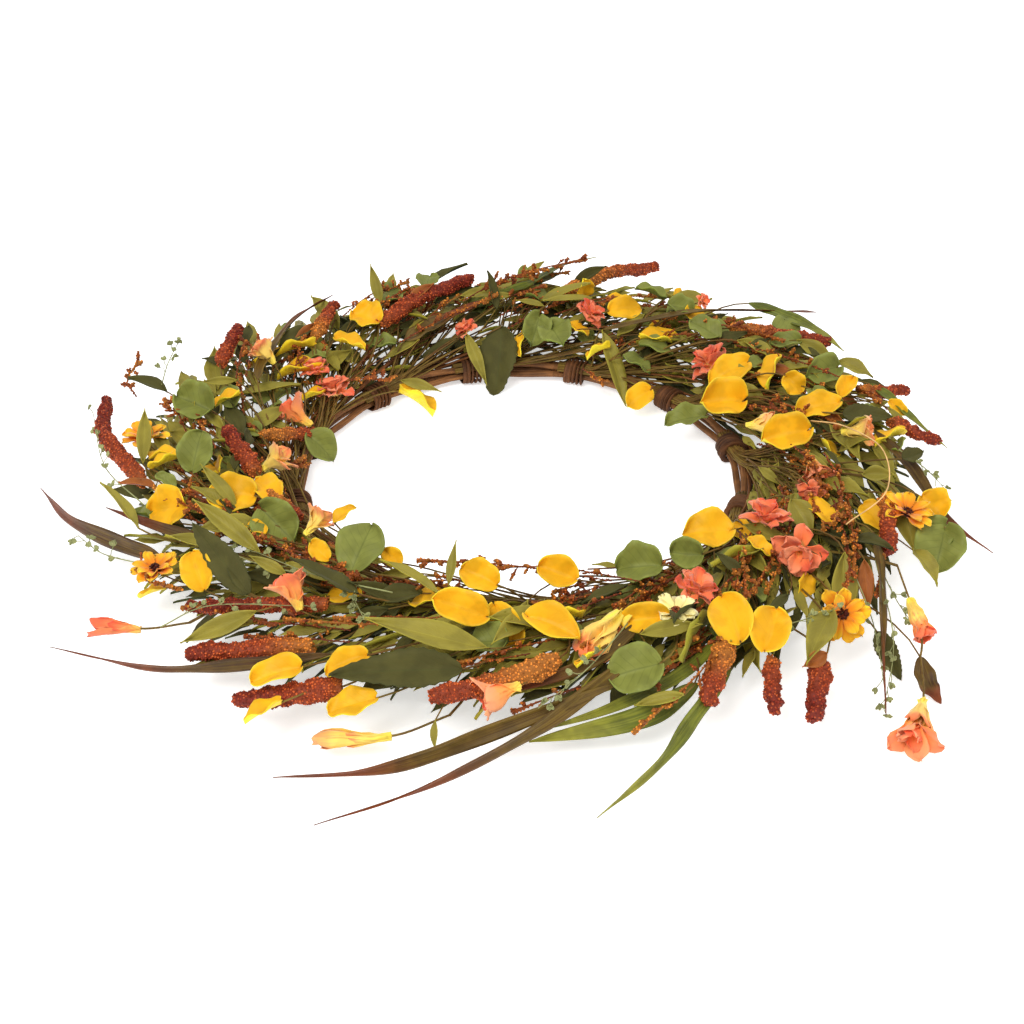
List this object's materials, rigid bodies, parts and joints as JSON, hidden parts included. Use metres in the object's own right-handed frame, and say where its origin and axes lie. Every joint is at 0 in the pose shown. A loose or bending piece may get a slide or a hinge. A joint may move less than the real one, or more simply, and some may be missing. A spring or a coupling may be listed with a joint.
{
  "type": "harvest door wreath",
  "caption": "Autumn door wreath: a bound ring of vines that holds picks of leaves, grain spikes, long blades and blossoms, all swept clockwise.",
  "frame": {"origin": "middle of the wreath's outline, on the plane of its back, which lies on the door or table", "axes": "+Z out of the door, towards the viewer; +Y up to 12 o'clock when it hangs; +X to the right as seen from the front"},
  "size_m": [0.5518, 0.5568, 0.0764],
  "materials": {
    "vine": "bare dried vine",
    "binding": "dry bark strip, wound tight",
    "stem": "plastic-covered wire",
    "amaranth": "foam grain with a little glitter",
    "gold": "printed satin leaf",
    "green": "printed satin leaf, pale rim",
    "sage": "printed satin leaf",
    "dark": "dull satin leaf with a toothed edge",
    "blade": "ribbed waxed cloth",
    "coral": "thin dyed petals",
    "daisy": "thin dyed petals"
  },
  "bodies": {
    "wreath": {"amaranth_pick_01": "amaranth", "amaranth_pick_02": "amaranth", "amaranth_pick_04": "amaranth", "amaranth_pick_05": "amaranth", "amaranth_pick_06": "amaranth", "amaranth_pick_07": "amaranth", "amaranth_pick_08": "amaranth", "amaranth_pick_09": "amaranth", "amaranth_pick_10": "amaranth", "amaranth_pick_12": "amaranth", "binding_01": "binding", "binding_02": "binding", "binding_03": "binding", "binding_04": "binding", "binding_05": "binding", "binding_06": "binding", "binding_07": "binding", "binding_08": "binding", "binding_09": "binding", "binding_10": "binding", "binding_11": "binding", "binding_12": "binding", "blade_pick_01": "blade", "blade_pick_03": "blade", "blade_pick_05": "blade", "blade_pick_06": "blade", "blade_pick_07": "blade", "blade_pick_08": "blade", "blade_pick_09": "blade", "blade_pick_11": "blade", "coral_pick_01": "coral", "coral_pick_04": "coral", "coral_pick_10": "coral", "daisy_pick_04": "daisy", "dark_pick_07": "dark", "dark_pick_11": "dark", "gold_pick_02": "gold", "gold_pick_03": "gold", "gold_pick_05": "gold", "gold_pick_06": "gold", "gold_pick_08": "gold", "gold_pick_10": "gold", "green_pick_01": "green", "green_pick_02": "green", "green_pick_04": "green", "green_pick_05": "green", "green_pick_08": "green", "green_pick_09": "green", "green_pick_12": "green", "pendant_stem": "stem", "petals_front_stem": "stem", "petals_left_stem": "stem", "sage_pick_06": "sage", "vine_inner": "vine", "vine_outer": "vine", "vine_top": "vine"},
    "pendant_high": {"pendant_high": "coral"},
    "pendant_low": {"pendant_low": "coral"},
    "petals_front": {"petals_front": "coral"},
    "petals_left": {"petals_left": "coral"}
  },
  "joints": [
    {"name": "pendant_high_swing", "type": "hinge", "parent": "wreath", "child": "pendant_high", "pos_m": [0.21136, -0.11598, 0.03742], "axis": [0, 0, 1], "range_deg": [-5, 12]},
    {"name": "pendant_low_swing", "type": "hinge", "parent": "pendant_high", "child": "pendant_low", "pos_m": [0.21541, -0.17174, 0.02025], "axis": [0, 0, 1], "range_deg": [-10, 20]},
    {"name": "petals_front_bend", "type": "hinge", "parent": "wreath", "child": "petals_front", "pos_m": [-0.02434, -0.22371, 0.0243], "axis": [-0.2323, 0.9726, 0], "range_deg": [-4, 40]},
    {"name": "petals_left_bend", "type": "hinge", "parent": "wreath", "child": "petals_left", "pos_m": [-0.16099, -0.15706, 0.03029], "axis": [0.1856, 0.9826, 0], "range_deg": [-4, 40]}
  ]
}
